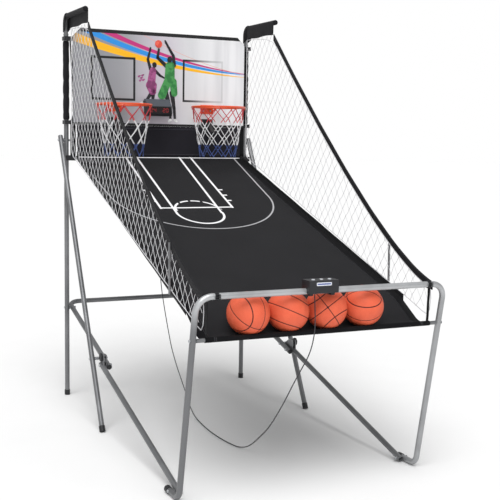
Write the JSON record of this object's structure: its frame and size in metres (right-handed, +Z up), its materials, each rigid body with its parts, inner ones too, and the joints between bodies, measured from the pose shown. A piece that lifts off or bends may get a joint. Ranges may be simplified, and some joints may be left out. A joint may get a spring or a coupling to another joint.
{
  "type": "arcade basketball hoop machine",
  "caption": "Folding indoor arcade basketball game with a tube frame, cloth return ramp, two small hoops on a printed board, side nets and a row of balls.",
  "frame": {"origin": "on the floor, at the middle of the overall footprint", "axes": "+X to the player's right, +Y from the player to the backboard, +Z up"},
  "size_m": [1.1456, 2.0415, 2.0558],
  "materials": {
    "frame_tube": "satin silver-grey powder coat",
    "bar_tube": "satin light grey powder coat",
    "zinc": "zinc plated",
    "black_plastic": "matte",
    "black_cloth": "woven polyester",
    "ramp_cloth": "woven polyester with printed white court lines",
    "net_cord": "white knotted cord",
    "board_print": "printed coated cloth",
    "rim_paint": "gloss orange enamel",
    "hoop_net": "red, white and navy braided cord",
    "box_plastic": "fine texture",
    "score_plastic": "satin",
    "window": "dark tinted",
    "button_plastic": "gloss",
    "circuit_board": "green laminate",
    "ball_rubber": "pebbled coral orange",
    "cable_jacket": "matte"
  },
  "bodies": {
    "root": {"left_upright": "frame_tube", "right_upright": "frame_tube", "left_inclined_leg": "frame_tube", "right_inclined_leg": "frame_tube", "lower_rear_tube": "frame_tube", "rear_foot_caps": "black_plastic", "rear_bolts": "zinc", "fold_plates": "frame_tube", "fold_pins": "zinc", "lower_arm_plugs": "black_plastic", "left_top_arm": "frame_tube", "right_top_arm": "frame_tube", "left_arm_sleeve": "black_cloth", "right_arm_sleeve": "black_cloth", "upright_sleeves": "black_cloth", "board_frame": "frame_tube", "backboard_banner": "board_print", "frame_clamps": "black_plastic", "ramp_rear_bar": "frame_tube", "rear_panel": "black_cloth", "ramp_cloth": "ramp_cloth", "left_rim": "rim_paint", "right_rim": "rim_paint", "rim_bolts": "zinc", "left_hoop_net": "hoop_net", "right_hoop_net": "hoop_net", "left_sensor_box": "black_plastic", "right_sensor_box": "black_plastic", "scoreboard_case": "score_plastic", "scoreboard_window": "window", "scoreboard_gland": "black_plastic", "signal_cable": "cable_jacket", "left_side_net": "net_cord", "right_side_net": "net_cord", "left_net_webbing": "black_cloth", "right_net_webbing": "black_cloth"},
    "front_frame": {"front_u_frame": "bar_tube", "left_front_tube": "frame_tube", "right_front_tube": "frame_tube", "front_foot_caps": "black_plastic", "front_bolts": "zinc", "ramp_front_rod": "frame_tube", "lock_lugs": "frame_tube", "control_box_base": "box_plastic", "control_box_lid": "box_plastic", "control_board": "circuit_board", "control_box_clips": "black_plastic", "bar_straps": "black_cloth", "stay_posts": "frame_tube"},
    "left_lock_knob": {"left_lock_knob": "black_plastic"},
    "right_lock_knob": {"right_lock_knob": "black_plastic"},
    "left_paddle": {"left_score_paddle": "black_plastic"},
    "right_paddle": {"right_score_paddle": "black_plastic"},
    "power_button": {"power_button": "button_plastic"},
    "mode_button": {"mode_button": "button_plastic"},
    "start_button": {"start_button": "button_plastic"},
    "ball_1": {"ball_1": "ball_rubber"},
    "ball_2": {"ball_2": "ball_rubber"},
    "ball_3": {"ball_3": "ball_rubber"},
    "ball_4": {"ball_4": "ball_rubber"}
  },
  "joints": [
    {"name": "front_fold", "type": "hinge", "parent": "root", "child": "front_frame", "pos_m": [0, 0.28125, 0.30356], "axis": [-1, 0, 0], "range_deg": [0, 70], "deforming": ["ramp_cloth", "left_side_net", "right_side_net", "left_net_webbing", "right_net_webbing", "signal_cable"]},
    {"name": "left_knob_turn", "type": "hinge", "parent": "front_frame", "child": "left_lock_knob", "pos_m": [-0.526, 0.27525, 0.34557], "axis": [1, 0, 0], "continuous": true},
    {"name": "right_knob_turn", "type": "hinge", "parent": "front_frame", "child": "right_lock_knob", "pos_m": [0.526, 0.27525, 0.34557], "axis": [1, 0, 0], "continuous": true},
    {"name": "left_paddle_swing", "type": "hinge", "parent": "root", "child": "left_paddle", "pos_m": [-0.27, 0.87225, 1.5], "axis": [1, 0, 0], "range_deg": [0, 30], "stiffness_Nm_per_rad": 0.12, "springref_deg": -17.19},
    {"name": "right_paddle_swing", "type": "hinge", "parent": "root", "child": "right_paddle", "pos_m": [0.27, 0.87225, 1.5], "axis": [1, 0, 0], "range_deg": [0, 30], "stiffness_Nm_per_rad": 0.12, "springref_deg": -17.19},
    {"name": "power_press", "type": "slide", "parent": "front_frame", "child": "power_button", "axis": [0, 0, -1], "range_m": [0, 0.002], "stiffness_N_per_m": 400, "springref_m": -0.0008},
    {"name": "mode_press", "type": "slide", "parent": "front_frame", "child": "mode_button", "axis": [0, 0, -1], "range_m": [0, 0.002], "stiffness_N_per_m": 400, "springref_m": -0.0008},
    {"name": "start_press", "type": "slide", "parent": "front_frame", "child": "start_button", "axis": [0, 0, -1], "range_m": [0, 0.002], "stiffness_N_per_m": 400, "springref_m": -0.0008},
    {"name": "ball_1_lift", "type": "slide", "parent": "front_frame", "child": "ball_1", "axis": [0, 0.7071, 0.7071], "range_m": [0, 0.12]},
    {"name": "ball_2_lift", "type": "slide", "parent": "front_frame", "child": "ball_2", "axis": [0, 0.7071, 0.7071], "range_m": [0, 0.12]},
    {"name": "ball_3_lift", "type": "slide", "parent": "front_frame", "child": "ball_3", "axis": [0, 0.7071, 0.7071], "range_m": [0, 0.12]},
    {"name": "ball_4_lift", "type": "slide", "parent": "front_frame", "child": "ball_4", "axis": [0, 0.7071, 0.7071], "range_m": [0, 0.12]}
  ]
}
